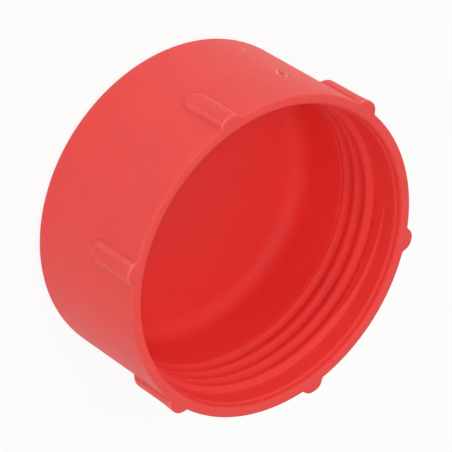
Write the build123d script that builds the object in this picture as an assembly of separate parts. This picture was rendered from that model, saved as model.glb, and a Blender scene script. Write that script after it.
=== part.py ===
from build123d import *
import math
import os

# Threaded protection cap, moulded in one piece from soft polyethylene.
# Units are millimetres. The cap stands on its closed end with its mouth up:
# the origin is the centre of the closed end's outer face, +Z leaves through
# the mouth, and the first lug lies on +X.

# The fitting it protects, and the bore that slips over it
fitting_radius = 20.955    # over a G 1 1/4 male thread
entry_clearance = 0.025
entry_radius = fitting_radius + entry_clearance

# Cup
cap_height = 21.7          # closed end to rim face
mouth_wall = 1.82          # entry bore to outside, at the rim
outside_draft = 0.3        # the outside narrows by this much towards the closed end
base_edge_round = 1.5      # outer edge of the closed end
rim_outer_bevel = 0.25     # outer edge of the rim face, round the lugs' ends too
rim_inner_bevel = 0.25     # inner edge of the rim face
floor_thickness = 1.8      # closed end
floor_fillet = 2.6         # inside, between floor and wall
inside_draft = 0.2         # the inside narrows by this much under the shoulder
mouth_radius = entry_radius + mouth_wall
base_radius = mouth_radius - outside_draft

# Mouth, from the rim inward
lead_in_step = 0.29        # short counterbore, wider than the entry bore by this much
lead_in_depth = 0.75
lead_in_chamfer = 0.3      # from the counterbore down to the entry bore
shoulder_depth = 11.2      # rim face to the shoulder where the thread ends
shoulder_land = 1.0        # straight wall under the shoulder
lead_in_radius = entry_radius + lead_in_step

# Thread: right hand, 11 turns to the inch, 55 degree flanks, flat crests
thread_pitch = 25.4 / 11
thread_angle = 55.0
thread_height = 0.78       # entry bore to crest
thread_crest_width = 0.75
thread_first_depth = 3.93  # rim face to the middle of the ridge where it begins
thread_start_angle = 261.0
thread_seat = 0.35         # the ridge's root is buried this deep in the wall
crest_trim = 0.3           # the ridge is swept this much too high, then bored
ramp_angle = 55.0          # the ridge rises over this much of its first turn
ramp_lead = 6.0            # the ramp's cutter begins this far ahead of the ridge
ramp_gap = 0.05            # clearance of the ramp's cutter where it begins
ramp_step = 0.15           # height still missing at the end of the ramp
thread_bore_radius = entry_radius - thread_height
floor_radius = thread_bore_radius - inside_draft

# Grip lugs
lug_count = 6
lug_length = 9.3           # rim face to the back of the lug
lug_width = 3.5            # at the wall
lug_height = 0.95          # over the wall
lug_side_angle = 38.7      # each side leans in by this, in degrees
lug_edge_round = 1.0       # along the top edges, which makes the lug's section an arch
lug_blend = 0.4            # where lug meets wall
lug_flare_height = 0.2     # rise of the crest at the rim
lug_flare_length = 3.0
lug_seat = 0.8             # the lug's root is buried this deep in the wall
lug_spare = 0.3            # its blank stands this much over the crest before it is trimmed

overrun = 1.0              # cutting bodies pass the faces they cut by this much
near = 0.05                # an edge is picked when it lies this close to where it should


def outside_radius(z):
    """Outer wall radius at height z, on the moulding's draft."""
    return base_radius + (mouth_radius - base_radius) * z / cap_height


def ring(points):
    """Solid of revolution about Z from a closed outline of radius and height."""
    face = make_face(Polyline(*points, close=True))
    return revolve(Plane.XZ * face, Axis.Z)


def upright(radius, low, high):
    """Cylinder about Z between two heights."""
    column = Cylinder(radius, high - low, align=(Align.CENTER, Align.CENTER, Align.MIN))
    return Pos(0, 0, low) * column


def edges_at(solid, radius, height):
    """The circular edges of the solid about Z at this radius and height."""
    found = []
    for edge in solid.edges().filter_by(GeomType.CIRCLE):
        centre = edge.arc_center
        on_axis = math.hypot(centre.X, centre.Y) < near
        if on_axis and abs(centre.Z - height) < near and abs(edge.radius - radius) < near:
            found.append(edge)
    return found


def make_shell():
    """The cup's outside, as a plain solid."""
    outline = [
        (0, 0),
        (base_radius, 0),
        (mouth_radius, cap_height),
        (0, cap_height),
    ]
    shell = ring(outline)
    return fillet(edges_at(shell, base_radius, 0), base_edge_round)


def make_lug_plan():
    """The lug seen from outside, at its buried root: straight sides and a round back."""
    back = cap_height - lug_length
    half = lug_width / 2
    spread = lug_seat * math.tan(math.radians(lug_side_angle))
    side = half + spread
    front = cap_height + overrun
    return make_face([
        Line((side, back + half), (side, front)),
        Line((side, front), (-side, front)),
        Line((-side, front), (-side, back + half)),
        ThreePointArc((-side, back + half), (0, back - spread), (side, back + half)),
    ])


def make_lug_profile():
    """The lug seen from the side: its crest runs parallel to the wall and flares at the rim."""
    flare_start = cap_height - lug_flare_length
    low = outside_radius(0) + lug_height
    start = outside_radius(flare_start) + lug_height
    rim = outside_radius(cap_height) + lug_height + lug_flare_height
    slope = Vector(start - low, flare_start)
    return make_face([
        Line((0, 0), (low, 0)),
        Line((low, 0), (start, flare_start)),
        TangentArc((start, flare_start), (rim, cap_height), tangent=slope),
        Line((rim, cap_height), (0, cap_height)),
        Line((0, cap_height), (0, 0)),
    ])


def make_lug():
    """One grip lug on +X: a round-backed rib with leaning sides whose crest flares at the rim."""
    root = outside_radius(cap_height - lug_length) - lug_seat
    reach = lug_seat + lug_height + lug_flare_height + lug_spare
    rib = extrude(Plane.YZ.offset(root) * make_lug_plan(), reach, taper=lug_side_angle)
    rib = rib & extrude(Plane.XZ * make_lug_profile(), lug_width, both=True)

    crest_edges = []
    for edge in rib.edges():
        middle = edge @ 0.5
        box = edge.bounding_box()
        on_crest = middle.X > outside_radius(middle.Z) + lug_height - near
        if on_crest and box.max.Z - box.min.Z > near:
            crest_edges.append(edge)
    return fillet(crest_edges, lug_edge_round)


def lug_joint(body):
    """The edges where the lug on +X meets the wall."""
    found = []
    for edge in body.edges():
        middle = edge @ 0.5
        on_lug = middle.X > 0 and abs(middle.Y) < lug_width
        off_wall = abs(math.hypot(middle.X, middle.Y) - outside_radius(middle.Z))
        under_rim = middle.Z < cap_height - near
        if on_lug and under_rim and edge.geom_type == GeomType.BSPLINE and off_wall < near:
            found.append(edge)
    return found


def rim_contour(body):
    """The outer edges of the rim face, round the lugs' ends too."""
    found = []
    for edge in body.edges():
        middle = edge @ 0.5
        in_rim = edge.bounding_box().min.Z > cap_height - near
        if in_rim and math.hypot(middle.X, middle.Y) > mouth_radius - near:
            found.append(edge)
    return found


def make_outside():
    """Cup and lugs, each lug blended into the wall before the cup is turned for the next."""
    outside = make_shell()
    lug = make_lug()
    for number in range(lug_count):
        outside = Rot(0, 0, 360 / lug_count) * outside + lug
        outside = fillet(lug_joint(outside), lug_blend)
    return chamfer(rim_contour(outside), rim_outer_bevel)


def make_start_ramp():
    """What is missing of the ridge where it fades in: a wedge whose outer face spirals inward."""
    start_radius = entry_radius + ramp_gap
    end_radius = thread_bore_radius + ramp_step
    middle_radius = (start_radius + end_radius) / 2
    first = Vector(start_radius, 0).rotate(Axis.Z, thread_start_angle)
    middle = Vector(middle_radius, 0).rotate(Axis.Z, thread_start_angle - ramp_angle / 2)
    last = Vector(end_radius, 0).rotate(Axis.Z, thread_start_angle - ramp_angle)
    ahead = Vector(entry_radius + 2 * thread_seat, 0).rotate(Axis.Z, thread_start_angle + ramp_lead)
    wedge = make_face([
        ThreePointArc(first, middle, last),
        Line(last, (0, 0)),
        Line((0, 0), ahead),
        Line(ahead, first),
    ])
    # from half a turn above the ridge's start to midway between its first turn and its second
    top = cap_height - thread_first_depth + thread_pitch / 2
    depth = thread_pitch * (1 + ramp_angle / 720)
    return Pos(0, 0, top - depth) * extrude(wedge, depth)


def make_thread_ridge():
    """The helical ridge inside the mouth: it fades in at its start and runs on past the shoulder."""
    flank = math.tan(math.radians(thread_angle / 2))
    root_radius = entry_radius + thread_seat
    tip_radius = thread_bore_radius - crest_trim
    root_half = thread_crest_width / 2 + flank * (root_radius - thread_bore_radius)
    tip_half = thread_crest_width / 2 - flank * crest_trim
    travel = shoulder_depth + root_half + overrun - thread_first_depth

    path = Helix(thread_pitch, travel, root_radius)
    outline = Polyline(
        (0, -root_half),
        (tip_radius - root_radius, -tip_half),
        (tip_radius - root_radius, tip_half),
        (0, root_half),
        close=True,
    )
    section = Plane(origin=path @ 0, x_dir=(1, 0, 0), z_dir=path % 0) * make_face(outline)
    climbing = sweep(section, path=path, is_frenet=True)
    # turned over, the climbing helix runs down from its start at the mouth, and stays right-hand
    ridge = Rot(0, 0, thread_start_angle) * Rot(180, 0, 0) * climbing
    ridge = Pos(0, 0, cap_height - thread_first_depth) * ridge
    return ridge - upright(thread_bore_radius, 0, cap_height) - make_start_ramp()


def make_threaded_core():
    """What the mould's core fills from the shoulder to the mouth's chamfer, its thread cut in."""
    shoulder = cap_height - shoulder_depth
    chamfer_low = cap_height - lead_in_depth - lead_in_chamfer
    core = upright(entry_radius, 0, cap_height) - make_thread_ridge()
    return core & upright(2 * entry_radius, shoulder, chamfer_low)


def make_well():
    """What the core fills below the shoulder."""
    shoulder = cap_height - shoulder_depth
    outline = [
        (0, floor_thickness),
        (floor_radius, floor_thickness),
        (thread_bore_radius, shoulder - shoulder_land),
        (thread_bore_radius, shoulder),
        (0, shoulder),
    ]
    well = ring(outline)
    return fillet(edges_at(well, floor_radius, floor_thickness), floor_fillet)


def make_lead_in():
    """The chamfer and counterbore at the mouth, cut through the rim face."""
    chamfer_top = cap_height - lead_in_depth
    chamfer_low = chamfer_top - lead_in_chamfer
    outline = [
        (0, chamfer_low),
        (entry_radius, chamfer_low),
        (lead_in_radius, chamfer_top),
        (lead_in_radius, cap_height + overrun),
        (0, cap_height + overrun),
    ]
    return ring(outline)


def make_cap():
    """The whole cap: its outside less the core."""
    core = make_threaded_core() + make_well() + make_lead_in()
    cap = make_outside() - core
    return chamfer(edges_at(cap, lead_in_radius, cap_height), rim_inner_bevel)


os.makedirs("parts", exist_ok=True)
export_step(make_cap(), "parts/protection_cap.step")
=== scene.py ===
import math
from functools import partial

import bpy
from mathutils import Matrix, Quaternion, Vector


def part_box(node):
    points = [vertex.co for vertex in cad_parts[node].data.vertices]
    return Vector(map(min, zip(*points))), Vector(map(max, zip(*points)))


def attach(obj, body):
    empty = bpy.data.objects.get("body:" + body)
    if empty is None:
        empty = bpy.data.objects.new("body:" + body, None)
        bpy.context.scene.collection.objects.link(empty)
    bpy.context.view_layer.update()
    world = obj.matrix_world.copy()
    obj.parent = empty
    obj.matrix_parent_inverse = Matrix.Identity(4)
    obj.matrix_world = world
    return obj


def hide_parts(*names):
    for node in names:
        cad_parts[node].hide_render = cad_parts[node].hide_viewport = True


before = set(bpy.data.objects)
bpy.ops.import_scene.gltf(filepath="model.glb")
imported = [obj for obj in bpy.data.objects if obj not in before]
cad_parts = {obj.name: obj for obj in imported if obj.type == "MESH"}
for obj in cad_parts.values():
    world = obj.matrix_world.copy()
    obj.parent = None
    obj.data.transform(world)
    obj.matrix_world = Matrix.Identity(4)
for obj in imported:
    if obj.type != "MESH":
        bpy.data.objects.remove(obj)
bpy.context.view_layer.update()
print("frame loaded")

# sizes below are in millimetres and angles in degrees, unless a note says otherwise
mm = 0.001
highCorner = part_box("protection_cap")[1] / mm
capHeight = highCorner.z
wallRadius = highCorner.y  # no lug lies on Y, so this is the plain wall at the rim


def linearColour(hexColour):
    # sRGB hex to the linear values that shaders take
    channels = [int(hexColour[i:i + 2], 16) / 255 for i in (1, 3, 5)]
    linear = [c / 12.92 if c <= 0.04045 else ((c + 0.055) / 1.055) ** 2.4 for c in channels]
    return (*linear, 1.0)


def addNode(tree, kind, inputs=(), **settings):
    # adds a node with its settings and links, and gives its first usable output;
    # inputs come in order or by name, each a value or another node's output
    node = tree.nodes.new(kind)
    for name, value in settings.items():
        setattr(node, name, value)
    if isinstance(inputs, dict):
        targets = [(node.inputs[name], value) for name, value in inputs.items()]
    else:
        targets = zip([socket for socket in node.inputs if socket.enabled], inputs)
    for socket, value in targets:
        if isinstance(value, bpy.types.NodeSocket):
            tree.links.new(value, socket)
        else:
            socket.default_value = value
    return next((socket for socket in node.outputs if socket.enabled), None)


cup = {
    "draft": 0.3,             # the outside narrows by this much towards the closed end
    "baseRound": 1.5,
    "rimRound": 0.3,
    "rimSteps": 6,            # faces over that round
    "rimInnerRound": 0.55,
    "rimEase": 0.06,          # a narrow flat ring beside the rim's outer round
    "rimInnerEase": 0.05,     # and one beside its inner round
    "leadInRadius": 21.27,
    "leadInDepth": 0.75,
    "leadInChamfer": 0.3,
    "leadInRound": 0.45,
    "entryRadius": 20.98,
    "shoulderDepth": 11.2,
    "shoulderRound": 0.2,
    "landRadius": 20.15,      # just under the thread's crest, which it swallows
    "landDepth": 12.2,
    "floorRadius": 20.0,
    "floorHeight": 1.8,
    "floorRound": 2.6,
    "longestFace": 1.4,       # along the section
    "sharpAngle": 32.0,       # flatter edges are shaded smooth
}

# Low-density polyethylene, injection-moulded against a spark-eroded cavity and a smoother core.
# It looks waxy: light goes a little way in, so edges and thin ridges glow softly, and highlights
# are broad and weak. The skin outside is finely grained and worn pale where it stands proud, and these
# pale edges also carry painted highlight.
plastic = {
    "outside": "#F3504B",     # the grained skin, painted paler than the inside as a painted sheen
    "inside": "#F2423E",      # the core leaves it smoother; it is painted deeper in colour, lacking the outside's painted sheen
    "rubbedAndHighlight": "#FFA39D",
    "ior": 1.51,
    "shine": 0.22,            # a waxy skin reflects less than a polished one
    "roughOutside": 0.5,
    "roughInside": 0.55,
    "subsurface": 0.3,
    "subsurfaceDepth": 1.2,
    "subsurfaceShares": (1.0, 0.25, 0.2),   # red goes deepest
    # each pattern's mark size and its detail; real spark-eroded grain is about 0.15 mm across,
    # too fine to show, so it is drawn coarser
    "patterns": {"mottle": (5.0, 3.0), "wear": (1.3, 2.0), "grain": (0.42, 2.0), "wave": (7.0, 1.0)},
    "mottle": 0.10,           # how far the colour's value wanders
    "grainHeight": 0.14,
    "grainInside": 0.3,       # the share of it that the core leaves
    "grainBloom": 0.16,       # the grain's tops scatter a little more light
    "waveHeight": 0.12,
    "dentDepth": 0.08,
    "patchiness": 2.4,        # the worn pale and its painted highlight come in patches
    "edgeWearAndHighlight": 0.12,         # how pale the lugs' shoulders, their ends and the rim are worn, with painted highlight on those edges
    "endWearAndHighlight": 0.30,
    "rimWearAndHighlight": 0.06,
    "footShade": 0.05,        # painted shade in the crease round a lug's foot
    "darkening": 0.5,         # how much a dark mark, such as the nick's painted shade, takes from the colour's value
    "coreRadius": (21.3, 21.7),   # inside and outside meet between these radii, on the rim
    "coreHeight": (1.0, 1.5),
    # where a mark begins, is full, eases and ends, by how far the surface stands proud of the wall
    "shoulderBand": (0.30, 0.50, 0.70, 0.92),
    "footShadeBand": (-0.02, 0.12, 0.20, 0.40),
    "endStart": (0.05, 0.2),
    "rimBand": (-0.45, -0.2, 0.0, 0.1),
    # and by height over the rim face
    "underRimBand": (-0.5, -0.36, -0.2, -0.08),
    "shoulderStart": (-0.25, -0.5),
}
# a nick and small scuffs on the wall; a negative value darkens or stands out. Along the nick, the pale
# crescents are painted highlight and the dark trough is painted shade, beside its real dent
scuffs = [
    {"height": 13.7, "angle": -34.4, "length": 2.4, "width": 0.50, "turn": 34, "pale": 0.55, "dent": -0.7},
    {"height": 14.1, "angle": -35.4, "length": 2.0, "width": 0.60, "turn": 15, "pale": -0.9, "dent": 1.2},
    {"height": 14.9, "angle": -35.8, "length": 1.1, "width": 0.60, "turn": 25, "pale": 0.5, "dent": -0.6},
    {"height": 15.5, "angle": -36.1, "length": 0.8, "width": 0.45, "turn": 20, "pale": -0.6, "dent": 0.8},
    {"height": 5.4, "angle": -37.0, "length": 1.6, "width": 0.60, "turn": 40, "pale": 0.26, "dent": -0.4},
    {"height": 8.4, "angle": -35.3, "length": 0.9, "width": 0.50, "turn": -43, "pale": 0.3, "dent": -0.4},
    {"height": 11.6, "angle": -35.3, "length": 1.2, "width": 0.40, "turn": 10, "pale": 0.24, "dent": -0.2},
]
# a mark fades over these squared distances from its middle, in half widths, and the grain shifts them
scuffBorder = {"fade": (1.4, 0.4), "grain": 1.6}


def makePlastic():
    material = bpy.data.materials.new("mouldedRedPolyethylene")
    material.use_nodes = True
    tree = material.node_tree
    shader = tree.nodes["Principled BSDF"]

    add = partial(addNode, tree)
    smooth = {"interpolation_type": "SMOOTHSTEP"}

    def metres(name):
        return [edge * mm for edge in plastic[name]]

    def band(distance, name):
        # nothing outside the first and last edge, all of it between the middle two
        rise, full, ease, fall = metres(name)
        rising = add("ShaderNodeMapRange", (distance, rise, full), **smooth)
        falling = add("ShaderNodeMapRange", (distance, fall, ease), **smooth)
        return add("ShaderNodeMath", (rising, falling), operation="MULTIPLY")

    place = add("ShaderNodeTexCoord").node.outputs["Object"]
    axes = add("ShaderNodeSeparateXYZ", (place,)).node.outputs
    flat = add("ShaderNodeVectorMath", (place, (1, 1, 0)), operation="MULTIPLY")
    radius = add("ShaderNodeVectorMath", (flat,), operation="LENGTH")
    angle = add("ShaderNodeMath", (axes["Y"], axes["X"]), operation="ARCTAN2")
    away = add("ShaderNodeMapRange", (radius, *metres("coreRadius")), **smooth)
    within = add("ShaderNodeMath", (1.0, away), operation="SUBTRACT")
    above = add("ShaderNodeMapRange", (axes["Z"], *metres("coreHeight")), **smooth)
    inside = add("ShaderNodeMath", (within, above), operation="MULTIPLY")

    patterns = {}
    for name, (size, detail) in plastic["patterns"].items():
        marks = {"Vector": place, "Scale": 1 / (size * mm), "Detail": detail}
        marks = add("ShaderNodeTexNoise", marks)
        patterns[name] = add("ShaderNodeMath", (marks, 0.5), operation="SUBTRACT")
    grain = patterns["grain"]

    # how far the surface stands proud of the plain wall, and how high it is over the rim face
    slope, baseRadius = cup["draft"] / capHeight, (wallRadius - cup["draft"]) * mm
    wall = add("ShaderNodeMath", (axes["Z"], slope, baseRadius), operation="MULTIPLY_ADD")
    proud = add("ShaderNodeMath", (radius, wall), operation="SUBTRACT")
    overRim = add("ShaderNodeMath", (axes["Z"], capHeight * mm), operation="SUBTRACT")

    # worn pale and painted edge highlight follow both
    underRim = band(overRim, "underRimBand")
    downLug = add("ShaderNodeMapRange", (overRim, *metres("shoulderStart")), **smooth)
    onLugEnd = add("ShaderNodeMapRange", (proud, *metres("endStart")), **smooth)
    rubsAndHighlights = (
        ("edgeWearAndHighlight", band(proud, "shoulderBand"), downLug),
        ("endWearAndHighlight", underRim, onLugEnd),
        ("rimWearAndHighlight", underRim, band(proud, "rimBand")),
    )
    wear = 0.0
    for name, across, along in rubsAndHighlights:
        rubAndHighlight = add("ShaderNodeMath", (across, along), operation="MULTIPLY")
        wear = add("ShaderNodeMath", (rubAndHighlight, plastic[name], wear), operation="MULTIPLY_ADD")
    patchy = (patterns["wear"], plastic["patchiness"], 1.0)
    patchy = add("ShaderNodeMath", patchy, operation="MULTIPLY_ADD")
    bloom = add("ShaderNodeMath", (grain, away), operation="MULTIPLY")
    bloom = add("ShaderNodeMath", (bloom, plastic["grainBloom"]), operation="MULTIPLY")
    pale = add("ShaderNodeMath", (wear, patchy, bloom), operation="MULTIPLY_ADD")

    # each scuff is an ellipse on the unrolled wall, its border broken by the grain; along the nick, its
    # pale is painted highlight and its dark is painted shade
    around = add("ShaderNodeMath", (angle, wallRadius * mm), operation="MULTIPLY")
    unrolled = add("ShaderNodeCombineXYZ", (around, axes["Z"]))
    dent = 0.0
    for scuff in scuffs:
        middle = math.radians(scuff["angle"]) * wallRadius
        local = {
            "Vector": unrolled,
            "Location": (middle * mm, scuff["height"] * mm, 0),
            "Rotation": (0, 0, -math.radians(scuff["turn"])),
            "Scale": (scuff["width"] / 2 * mm, scuff["length"] / 2 * mm, 1),
        }
        local = add("ShaderNodeMapping", local, vector_type="TEXTURE")
        reach = add("ShaderNodeVectorMath", (local, local), operation="DOT_PRODUCT")
        reach = add("ShaderNodeMath", (grain, scuffBorder["grain"], reach), operation="MULTIPLY_ADD")
        mark = add("ShaderNodeMapRange", (reach, *scuffBorder["fade"]), **smooth)
        mark = add("ShaderNodeMath", (mark, away), operation="MULTIPLY")
        pale = add("ShaderNodeMath", (mark, scuff["pale"], pale), operation="MULTIPLY_ADD")
        dent = add("ShaderNodeMath", (mark, scuff["dent"], dent), operation="MULTIPLY_ADD")

    # one plastic in two tones: the outside's paler colour is a painted sheen
    skins = (linearColour(plastic["outside"]), linearColour(plastic["inside"]))
    colour = add("ShaderNodeMix", (inside, *skins), data_type="RGBA")
    # pale marks: worn edges with painted highlight, the nick's painted highlight and the grain
    lighter = add("ShaderNodeMath", (pale, 0.0), operation="MAXIMUM")
    colour = (lighter, colour, linearColour(plastic["rubbedAndHighlight"]))
    colour = add("ShaderNodeMix", colour, data_type="RGBA")
    value = (patterns["mottle"], plastic["mottle"], 1.0)
    value = add("ShaderNodeMath", value, operation="MULTIPLY_ADD")
    # dark marks, the nick's painted shade among them
    darker = add("ShaderNodeMath", (pale, 0.0), operation="MINIMUM")
    value = add("ShaderNodeMath", (darker, plastic["darkening"], value), operation="MULTIPLY_ADD")
    # painted shade along each lug's foot, where the flank meets the wall
    paintedFootShade = band(proud, "footShadeBand")
    value = add("ShaderNodeMath", (paintedFootShade, -plastic["footShade"], value), operation="MULTIPLY_ADD")
    colour = add("ShaderNodeHueSaturation", {"Color": colour, "Value": value})

    # relief in millimetres: fine grain, which the core has less of, slow waves and the dents
    heights = (plastic["grainHeight"], plastic["grainHeight"] * plastic["grainInside"])
    grainHeight = add("ShaderNodeMix", (inside, *heights), data_type="FLOAT")
    relief = add("ShaderNodeMath", (grain, grainHeight), operation="MULTIPLY")
    relief = (patterns["wave"], plastic["waveHeight"], relief)
    relief = add("ShaderNodeMath", relief, operation="MULTIPLY_ADD")
    relief = add("ShaderNodeMath", (dent, -plastic["dentDepth"], relief), operation="MULTIPLY_ADD")
    bumpy = add("ShaderNodeBump", {"Strength": 1.0, "Distance": mm, "Height": relief})

    roughness = (inside, plastic["roughOutside"], plastic["roughInside"])
    roughness = add("ShaderNodeMix", roughness, data_type="FLOAT")
    tree.links.new(colour, shader.inputs["Base Color"])
    tree.links.new(roughness, shader.inputs["Roughness"])
    tree.links.new(bumpy, shader.inputs["Normal"])
    shader.inputs["IOR"].default_value = plastic["ior"]
    shader.inputs["Specular IOR Level"].default_value = plastic["shine"]
    shader.inputs["Subsurface Weight"].default_value = plastic["subsurface"]
    shader.inputs["Subsurface Radius"].default_value = plastic["subsurfaceShares"]
    shader.inputs["Subsurface Scale"].default_value = plastic["subsurfaceDepth"] * mm
    return material


capMaterial = makePlastic()
print("polyethylene made")

# the sector round one lug, a sixth of the cap
lug = {
    "count": 6,
    "length": 9.3,
    "width": 3.5,
    "height": 0.95,
    "sideAngle": 38.7,
    "edgeRound": 1.5,
    "blend": 0.4,
    "flareLength": 3.0,
    "netBottom": 8.0,         # the net of faces round a lug reaches down to this height
    "sideSteps": 22,          # its lines beside the lug, from rim to back
    "flankSteps": 8,          # from there down to the net's corner
    "backSteps": 48,          # and from corner to corner
    "crestSteps": 4,          # faces across half the crest, its edge and its blend
    "edgeSteps": 8,
    "blendSteps": 5,
    # and over the wall, closer together near the lug's foot
    "wallShares": (0.012, 0.05, 0.11, 0.18, 0.26, 0.34, 0.42, 0.5, 0.58, 0.66, 0.74, 0.82, 0.91, 1.0),
}
halfSector = wallRadius * math.pi / lug["count"]
sideTop = capHeight - cup["rimRound"]
lugCentre = capHeight - lug["length"] + lug["width"] / 2
tipHeight = highCorner.x - wallRadius


def outsideRadius(height):
    return wallRadius - cup["draft"] * (capHeight - height) / capHeight


def outsidePoint(across, height, proud):
    radius = outsideRadius(height) + proud
    angle = across / wallRadius
    return Vector((radius * math.cos(angle), radius * math.sin(angle), height))


def crestHeight(height):
    flareStart = capHeight - lug["flareLength"]
    rise = max(0.0, (height - flareStart) / (sideTop - flareStart))
    return lug["height"] + (tipHeight - lug["height"]) * rise ** 2


def evenSteps(first, last, steps):
    return [first + (last - first) * i / steps for i in range(steps + 1)]


def lugSection(crest, reach):
    # distance from the lug's middle and height over the wall, from the crest out to the reach
    slope = math.radians(lug["sideAngle"])
    half, edge, blend = lug["width"] / 2, lug["edgeRound"], lug["blend"]
    cosine, sine = math.cos(slope), math.sin(slope)
    edgeCentre = (half * cosine - edge - (crest - edge) * sine) / cosine
    blendCentre = half + blend * (1 - sine) / cosine
    section = [(across, crest) for across in evenSteps(0, edgeCentre, lug["crestSteps"])[:-1]]
    for angle in evenSteps(math.pi / 2, slope, lug["edgeSteps"]):
        section.append((edgeCentre + edge * math.cos(angle), crest - edge + edge * math.sin(angle)))
    for angle in evenSteps(slope, math.pi / 2, lug["blendSteps"]):
        section.append((blendCentre - blend * math.cos(angle), blend - blend * math.sin(angle)))
    for share in lug["wallShares"]:
        section.append((blendCentre + (reach - blendCentre) * share, 0.0))
    return section


def lugNet():
    # lines of points that leave the lug's middle line and end at the sector's border
    lines = []
    bottom, flankSteps, backSteps = lug["netBottom"], lug["flankSteps"], lug["backSteps"]
    heights = evenSteps(sideTop, lugCentre, lug["sideSteps"])[:-1]
    left = [(-halfSector, height) for height in evenSteps(lugCentre, bottom, flankSteps)[:-1]]
    back = [(across, bottom) for across in evenSteps(-halfSector, halfSector, backSteps)]
    right = [(-across, height) for across, height in reversed(left)]
    for height in heights:
        section = lugSection(crestHeight(height), halfSector)
        lines.append([outsidePoint(-away, height, proud) for away, proud in section])
    for across, height in left + back + right:
        reach = math.hypot(across, height - lugCentre)
        section = lugSection(lug["height"], reach)
        lines.append([
            outsidePoint(across * away / reach, lugCentre + (height - lugCentre) * away / reach, proud)
            for away, proud in section
        ])
    for height in reversed(heights):
        section = lugSection(crestHeight(height), halfSector)
        lines.append([outsidePoint(away, height, proud) for away, proud in section])
    return lines


def roundedOutline(corners, arcStep=12):
    # corners are (radius, height, round); a round becomes an arc, and long straights are divided
    outline = []
    for i, (radius, height, size) in enumerate(corners):
        here = Vector((radius, height))
        if not size:
            outline.append(here)
            continue
        before = (Vector(corners[i - 1][:2]) - here).normalized()
        after = (Vector(corners[i + 1][:2]) - here).normalized()
        half = before.angle(after) / 2
        centre = here + (before + after).normalized() * size / math.sin(half)
        first = here + before * size / math.tan(half) - centre
        last = here + after * size / math.tan(half) - centre
        steps = max(2, math.ceil((180 - math.degrees(2 * half)) / arcStep))
        for step in range(steps + 1):
            outline.append(centre + first.slerp(last, step / steps) * size)
    divided = [outline[0]]
    for point in outline[1:]:
        previous = divided[-1]
        pieces = max(1, math.ceil((point - previous).length / cup["longestFace"]))
        for i in range(1, pieces + 1):
            divided.append(previous.lerp(point, i / pieces))
    return divided


def insetRow(contour, inset, height):
    # the contour moved into the material, seen from above
    row = []
    for i, point in enumerate(contour):
        if 0 < i < len(contour) - 1:
            along = (contour[i + 1] - point).normalized() + (point - contour[i - 1]).normalized()
            outward = Vector((along.y, -along.x)).normalized()
        else:
            outward = point.xy.normalized()
        row.append(Vector((point.x - outward.x * inset, point.y - outward.y * inset, height)))
    return row


def ringRow(angles, radius, height):
    return [Vector((radius * math.cos(a), radius * math.sin(a), height)) for a in angles]


def rimRows(contour):
    # from the outer skin over the rim's outer round to its flat
    rimRound = cup["rimRound"]
    rows = [contour]
    for angle in evenSteps(0, math.pi / 2, cup["rimSteps"])[1:]:
        inset = rimRound * (1 - math.cos(angle))
        rows.append(insetRow(contour, inset, sideTop + rimRound * math.sin(angle)))
    rows.append(insetRow(contour, rimRound + cup["rimEase"], capHeight))
    return rows


def insideRows(contour):
    # from the rim's flat down the inside to the middle of the floor
    travelled = [0.0]
    for previous, point in zip(contour, contour[1:]):
        travelled.append(travelled[-1] + (point - previous).length)
    sector = 2 * math.pi / lug["count"]
    angles = [sector * (length / travelled[-1] - 0.5) for length in travelled]
    leadIn = capHeight - cup["leadInDepth"]
    shoulder = capHeight - cup["shoulderDepth"]
    profile = roundedOutline([
        (cup["leadInRadius"] + cup["rimInnerRound"] + cup["rimInnerEase"], capHeight, 0),
        (cup["leadInRadius"], capHeight, cup["rimInnerRound"]),
        (cup["leadInRadius"], leadIn, cup["leadInRound"]),
        (cup["entryRadius"], leadIn - cup["leadInChamfer"], cup["leadInRound"]),
        (cup["entryRadius"], shoulder, cup["shoulderRound"]),
        (cup["landRadius"], shoulder, cup["shoulderRound"]),
        (cup["landRadius"], capHeight - cup["landDepth"], 0),
        (cup["floorRadius"], cup["floorHeight"], cup["floorRound"]),
        (0, cup["floorHeight"], 0),
    ])
    return [ringRow(angles, point.x, point.y) for point in profile]


def underRows(net):
    # from the net's bottom line round the base's edge to the middle of the closed end
    start = lug["sideSteps"] + lug["flankSteps"]
    bottom = [line[-1] for line in net[start:start + lug["backSteps"] + 1]]
    angles = [math.atan2(point.y, point.x) for point in bottom]
    profile = roundedOutline([
        (outsideRadius(lug["netBottom"]), lug["netBottom"], 0),
        (outsideRadius(0), 0, cup["baseRound"]),
        (0, 0, 0),
    ])
    return [ringRow(angles, point.x, point.y) for point in profile]


def buildSector():
    net = lugNet()
    contour = list(reversed(net[0])) + net[-1][1:]
    top = rimRows(contour) + insideRows(contour)
    points, faces = [], []
    for grid, outwardFirst in ((net, True), (top, True), (underRows(net), False)):
        start, width = len(points), len(grid[0])
        for row in grid:
            points.extend(point * mm for point in row)
        for i in range(len(grid) - 1):
            for j in range(width - 1):
                a = start + i * width + j
                face = (a, a + 1, a + 1 + width, a + width)
                faces.append(face if outwardFirst else face[::-1])
    mesh = bpy.data.meshes.new("protectionCap")
    mesh.from_pydata(points, [], faces)
    return mesh


thread = {
    "pitch": 25.4 / 11,       # eleven turns to the inch
    "flankAngle": 27.5,
    "crestRadius": 20.2,
    "crestWidth": 0.75,
    "crestRound": 0.42,
    "rootRound": 0.42,
    "rootDepth": 0.35,        # the ridge's root is buried this deep in the wall
    "rootProud": 0.01,        # its flanks end this far over the wall, in a skirt
    "skirt": 0.35,            # that spreads this far and ends this deep under the skin
    "skirtDepth": 0.04,
    "arcStep": 16,
    "firstDepth": 3.93,
    "startAngle": 261.0,
    "lastDepth": 12.1,
    "rampAngle": 55.0,        # the ridge grows over this turn, from under the wall's skin
    "rampDepth": 0.06,
    "rampStep": 0.15,         # and is still this much lower than the full crest at its end
    "stepsPerTurn": 270,
    "weld": 0.002,
}


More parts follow.
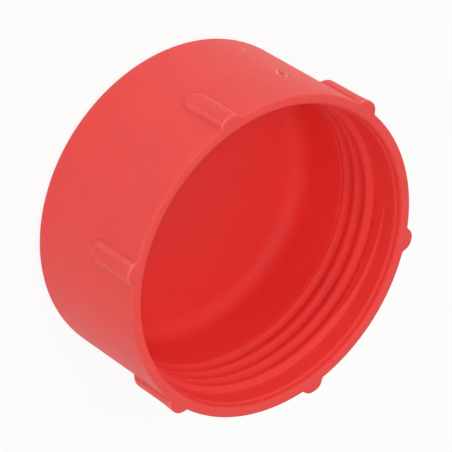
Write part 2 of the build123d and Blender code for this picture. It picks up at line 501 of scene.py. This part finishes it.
def makeRidgeSection():
    # X leads from the spiral's path away from the axis, Y down
    wall = -thread["rootDepth"]
    crest = wall + thread["crestRadius"] - cup["entryRadius"]
    crestHalf = thread["crestWidth"] / 2
    rootHalf = crestHalf + (wall - crest) * math.tan(math.radians(thread["flankAngle"]))
    skirtEnd = rootHalf + thread["skirt"]
    upper = [
        (0, skirtEnd, 0),
        (wall + thread["skirtDepth"], skirtEnd, 0),
        (wall - thread["rootProud"], rootHalf, thread["rootRound"]),
        (crest, crestHalf, thread["crestRound"]),
    ]
    lower = [(x, -y, size) for x, y, size in reversed(upper)]
    outline = roundedOutline(upper + lower, thread["arcStep"])
    curve = bpy.data.curves.new("ridgeSection", "CURVE")
    spline = curve.splines.new("POLY")
    spline.points.add(len(outline) - 1)
    for target, point in zip(spline.points, outline):
        target.co = (point.x * mm, point.y * mm, 0, 1)
    spline.use_cyclic_u = True
    return bpy.data.objects.new("ridgeSection", curve)


def addSocket(tree, name, kind, direction="INPUT"):
    return tree.interface.new_socket(name=name, in_out=direction, socket_type=kind).identifier


def makeCapTree(values):
    # the tree and the identifiers of its inputs, one for each value
    tree = bpy.data.node_groups.new("capFromSector", "GeometryNodeTree")
    addSocket(tree, "Sector", "NodeSocketGeometry")
    addSocket(tree, "Cap", "NodeSocketGeometry", "OUTPUT")
    kinds = {
        int: "NodeSocketInt", float: "NodeSocketFloat",
        bpy.types.Material: "NodeSocketMaterial", bpy.types.Object: "NodeSocketObject",
    }
    identifiers = {name: addSocket(tree, name, kinds[type(value)]) for name, value in values.items()}
    given = tree.nodes.new("NodeGroupInput").outputs

    add = partial(addNode, tree)

    # the sector turned about Z, once for each lug
    points = add("GeometryNodePoints", {"Count": given["Lug Count"]})
    spacing = add("ShaderNodeMath", (2 * math.pi, given["Lug Count"]), operation="DIVIDE")
    turn = add("ShaderNodeMath", (add("GeometryNodeInputIndex"), spacing), operation="MULTIPLY")
    turned = add("ShaderNodeCombineXYZ", {"Z": turn})
    copies = {"Points": points, "Instance": given["Sector"], "Rotation": turned}
    body = add("GeometryNodeRealizeInstances", (add("GeometryNodeInstanceOnPoints", copies),))
    body = {"Geometry": body, "Distance": given["Weld Distance"]}
    body = add("GeometryNodeMergeByDistance", body)

    # the ridge's path climbs to where the thread begins
    rootRadius = (given["Wall Radius"], given["Root Depth"])
    rootRadius = add("ShaderNodeMath", rootRadius, operation="ADD")
    climb = add("ShaderNodeMath", (given["Turns"], given["Pitch"]), operation="MULTIPLY")
    path = add("GeometryNodeCurveSpiral", {
        "Resolution": given["Steps Per Turn"], "Rotations": given["Turns"], "Height": climb,
        "Start Radius": rootRadius, "End Radius": rootRadius, "Reverse": True,
    })
    path = add("GeometryNodeSetCurveNormal", {"Curve": path}, mode="Z_UP")
    along = add("GeometryNodeCaptureAttribute", {"Geometry": path}, domain="POINT").node
    along.capture_items.new("FLOAT", "along")
    tree.links.new(add("GeometryNodeSplineParameter"), along.inputs["along"])

    # its section remembers each point's place, which tells the upper flank from the lower
    section = add("GeometryNodeObjectInfo", {"Object": given["Section"]}).node.outputs["Geometry"]
    across = add("GeometryNodeCaptureAttribute", {"Geometry": section}, domain="POINT").node
    across.capture_items.new("VECTOR", "place")
    tree.links.new(add("GeometryNodeInputPosition"), across.inputs["place"])
    swept = {"Curve": along.outputs[0], "Profile Curve": across.outputs[0], "Fill Caps": True}
    ridge = add("GeometryNodeCurveToMesh", swept)

    # it fades in: over the ramp nothing may stand further in than a radius that shrinks
    down = add("ShaderNodeMath", (1.0, along.outputs["along"]), operation="SUBTRACT")
    turnsDown = add("ShaderNodeMath", (down, given["Turns"]), operation="MULTIPLY")
    rampPlace = add("ShaderNodeMath", (turnsDown, given["Ramp Turns"]), operation="DIVIDE")
    rampStart = (given["Wall Radius"], given["Ramp Depth"])
    rampStart = add("ShaderNodeMath", rampStart, operation="ADD")
    rampEnd = (given["Crest Radius"], given["Ramp Step"])
    rampEnd = add("ShaderNodeMath", rampEnd, operation="ADD")
    limit = {"Value": rampPlace, "To Min": rampStart, "To Max": rampEnd}
    limit = add("ShaderNodeMapRange", limit)
    pastRamp = add("ShaderNodeMath", (rampPlace, 1.0), operation="GREATER_THAN")
    step = add("ShaderNodeMath", (pastRamp, given["Ramp Step"]), operation="MULTIPLY")
    limit = add("ShaderNodeMath", (limit, step), operation="SUBTRACT")
    position = add("GeometryNodeInputPosition")
    flat = add("ShaderNodeVectorMath", (position, (1, 1, 0)), operation="MULTIPLY")
    radius = add("ShaderNodeVectorMath", (flat,), operation="LENGTH")
    allowed = add("ShaderNodeMath", (radius, limit), operation="MAXIMUM")
    push = add("ShaderNodeMath", (allowed, radius), operation="SUBTRACT")
    share = add("ShaderNodeMath", (push, radius), operation="DIVIDE")
    outward = add("ShaderNodeVectorMath", {"Vector": flat, "Scale": share}, operation="SCALE")

    # a point pushed out also moves along its flank: up if its place's Y is negative
    placeAcross = add("ShaderNodeSeparateXYZ", (across.outputs["place"],)).node.outputs["Y"]
    side = add("ShaderNodeMath", (placeAcross,), operation="SIGN")
    spread = add("ShaderNodeMath", (push, given["Flank Slope"]), operation="MULTIPLY")
    lowered = add("ShaderNodeMath", (spread, side), operation="MULTIPLY")
    lift = add("ShaderNodeMath", (lowered, -1.0), operation="MULTIPLY")
    upward = add("ShaderNodeCombineXYZ", {"Z": lift})
    offset = add("ShaderNodeVectorMath", (outward, upward), operation="ADD")
    ridge = add("GeometryNodeSetPosition", {"Geometry": ridge, "Offset": offset})

    # the path's upper end goes to the start angle and height
    lower = add("ShaderNodeMath", (given["Start Height"], climb), operation="SUBTRACT")
    wound = add("ShaderNodeMath", (given["Turns"], 2 * math.pi), operation="MULTIPLY")
    back = add("ShaderNodeMath", (given["Start Angle"], wound), operation="SUBTRACT")
    ridge = add("GeometryNodeTransform", {
        "Geometry": ridge,
        "Translation": add("ShaderNodeCombineXYZ", {"Z": lower}),
        "Rotation": add("ShaderNodeCombineXYZ", {"Z": back}),
    })
    joined = add("GeometryNodeMeshBoolean", operation="UNION", solver="MANIFOLD").node
    tree.links.new(ridge, joined.inputs["Mesh 2"])
    tree.links.new(body, joined.inputs["Mesh 2"])
    whole = add("GeometryNodeSetShadeSmooth", {"Geometry": joined.outputs[0]})
    whole = add("GeometryNodeRealizeInstances", (whole,))
    whole = {"Geometry": whole, "Material": given["Material"]}
    whole = add("GeometryNodeSetMaterial", whole)
    add("NodeGroupOutput", (whole,))
    return tree, identifiers


def makeCap():
    cap = bpy.data.objects.new("protectionCap", buildSector())
    bpy.context.scene.collection.objects.link(cap)
    values = {
        "Lug Count": lug["count"],
        "Weld Distance": thread["weld"] * mm,
        "Wall Radius": cup["entryRadius"] * mm,
        "Root Depth": thread["rootDepth"] * mm,
        "Crest Radius": thread["crestRadius"] * mm,
        "Section": makeRidgeSection(),
        "Flank Slope": math.tan(math.radians(thread["flankAngle"])),
        "Steps Per Turn": thread["stepsPerTurn"],
        "Turns": (thread["lastDepth"] - thread["firstDepth"]) / thread["pitch"],
        "Pitch": thread["pitch"] * mm,
        "Start Angle": math.radians(thread["startAngle"]),
        "Start Height": (capHeight - thread["firstDepth"]) * mm,
        "Ramp Turns": thread["rampAngle"] / 360,
        "Ramp Depth": thread["rampDepth"] * mm,
        "Ramp Step": thread["rampStep"] * mm,
        "Material": capMaterial,
    }
    tree, identifiers = makeCapTree(values)
    modifier = cap.modifiers.new("capFromSector", "NODES")
    modifier.node_group = tree
    for name, value in values.items():
        modifier[identifiers[name]] = value
    bpy.context.view_layer.update()
    depsgraph = bpy.context.evaluated_depsgraph_get()
    mesh = bpy.data.meshes.new_from_object(cap.evaluated_get(depsgraph))
    cap.modifiers.clear()
    cap.data = mesh
    bpy.data.objects.remove(values["Section"])
    mesh.set_sharp_from_angle(angle=math.radians(cup["sharpAngle"]))
    return cap


cap = makeCap()
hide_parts("protection_cap")
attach(cap, "root")
print("cap:", len(cap.data.vertices), "vertices,", len(cap.data.polygons), "faces")

stage = {
    "halfWidth": 1500,
    "gap": 0.02,              # the floor lies a hair lower, so that the cap's base isn't in its plane
    "paper": "#F4F4F2",
    "whiteShare": 0.9,        # how much of what a camera or a reflection sees is plain white
}


def makePaper():
    # matt paper that takes the cap's shadow, and looks white
    material = bpy.data.materials.new("paleStudioPaper")
    material.use_nodes = True
    tree = material.node_tree
    tree.nodes.clear()
    seen = addNode(tree, "ShaderNodeLightPath").node.outputs
    direct = (seen["Is Camera Ray"], seen["Is Glossy Ray"])
    direct = addNode(tree, "ShaderNodeMath", direct, operation="MAXIMUM")
    share = addNode(tree, "ShaderNodeMath", (direct, stage["whiteShare"]), operation="MULTIPLY")
    paper = addNode(tree, "ShaderNodeBsdfDiffuse", {"Color": linearColour(stage["paper"])})
    white = addNode(tree, "ShaderNodeEmission", {"Color": (1, 1, 1, 1), "Strength": 1.0})
    lit = addNode(tree, "ShaderNodeMixShader", (share, paper, white))

    # from beneath it is open, so that the cap's closed end can be seen
    backFacing = addNode(tree, "ShaderNodeNewGeometry").node.outputs["Backfacing"]
    below = (seen["Is Camera Ray"], backFacing)
    below = addNode(tree, "ShaderNodeMath", below, operation="MULTIPLY")
    clear = addNode(tree, "ShaderNodeBsdfTransparent")
    openBelow = addNode(tree, "ShaderNodeMixShader", (below, lit, clear))
    addNode(tree, "ShaderNodeOutputMaterial", (openBelow,))
    return material


def makeFloor():
    half, height = stage["halfWidth"] * mm, -stage["gap"] * mm
    mesh = bpy.data.meshes.new("studioFloor")
    corners = [(x * half, y * half, height) for x, y in ((-1, -1), (1, -1), (1, 1), (-1, 1))]
    mesh.from_pydata(corners, [], [(0, 1, 2, 3)])
    mesh.materials.append(makePaper())
    floor = bpy.data.objects.new("studioFloor", mesh)
    bpy.context.scene.collection.objects.link(floor)


makeFloor()

# distance and size in metres, power in watts
lamps = [
    {"name": "topSoftbox", "azimuth": 25, "elevation": 60, "distance": 0.7, "size": 0.5, "power": 1.45},
    {"name": "leftSoftbox", "azimuth": 80, "elevation": 22, "distance": 0.7, "size": 0.45, "power": 0.55},
    {"name": "rightSoftbox", "azimuth": 314, "elevation": 24, "distance": 0.7, "size": 0.4, "power": 1.0},
]
worldStrength = 0.53


def fromAngles(azimuth, elevation):
    a, e = math.radians(azimuth), math.radians(elevation)
    return Vector((math.cos(e) * math.cos(a), math.cos(e) * math.sin(a), math.sin(e)))


def hangLamp(lamp):
    light = bpy.data.lights.new(lamp["name"], "AREA")
    light.size = lamp["size"]
    light.energy = lamp["power"]
    holder = bpy.data.objects.new(lamp["name"], light)
    away = fromAngles(lamp["azimuth"], lamp["elevation"])
    holder.location = away * lamp["distance"]
    holder.rotation_mode = "QUATERNION"
    holder.rotation_quaternion = away.to_track_quat("Z", "Y")
    bpy.context.scene.collection.objects.link(holder)


def makeWorld():
    # an even soft room, plain white where the camera sees it
    world = bpy.data.worlds.new("softStudio")
    bpy.context.scene.world = world
    world.use_nodes = True
    tree = world.node_tree
    tree.nodes.clear()
    seen = addNode(tree, "ShaderNodeLightPath").node.outputs
    level = {"Value": seen["Is Camera Ray"], "To Min": worldStrength, "To Max": 1.0}
    level = addNode(tree, "ShaderNodeMapRange", level)
    room = addNode(tree, "ShaderNodeBackground", {"Color": (1, 1, 1, 1), "Strength": level})
    addNode(tree, "ShaderNodeOutputWorld", (room,))


for lamp in lamps:
    hangLamp(lamp)
makeWorld()
print("floor and light made")

shot = {
    "azimuth": 30.385,
    "elevation": 43.930,
    "roll": 122.218,
    "distance": 691.53,
    "aim": (-0.152, -0.258, 11.121),
    "lens": 420.18,
    "sensor": 36.0,
    "clip": (50, 10000),
}


def makeCamera():
    data = bpy.data.cameras.new("camera")
    data.sensor_width = shot["sensor"]
    data.lens = shot["lens"]
    data.clip_start, data.clip_end = (distance * mm for distance in shot["clip"])
    camera = bpy.data.objects.new("camera", data)
    bpy.context.scene.collection.objects.link(camera)
    back = fromAngles(shot["azimuth"], shot["elevation"])
    camera.location = (Vector(shot["aim"]) + back * shot["distance"]) * mm
    camera.rotation_mode = "QUATERNION"
    roll = Quaternion((0, 0, 1), math.radians(shot["roll"]))
    camera.rotation_quaternion = back.to_track_quat("Z", "Y") @ roll
    bpy.context.scene.camera = camera


makeCamera()
bpy.context.scene.view_settings.view_transform = "Standard"
print("camera set")
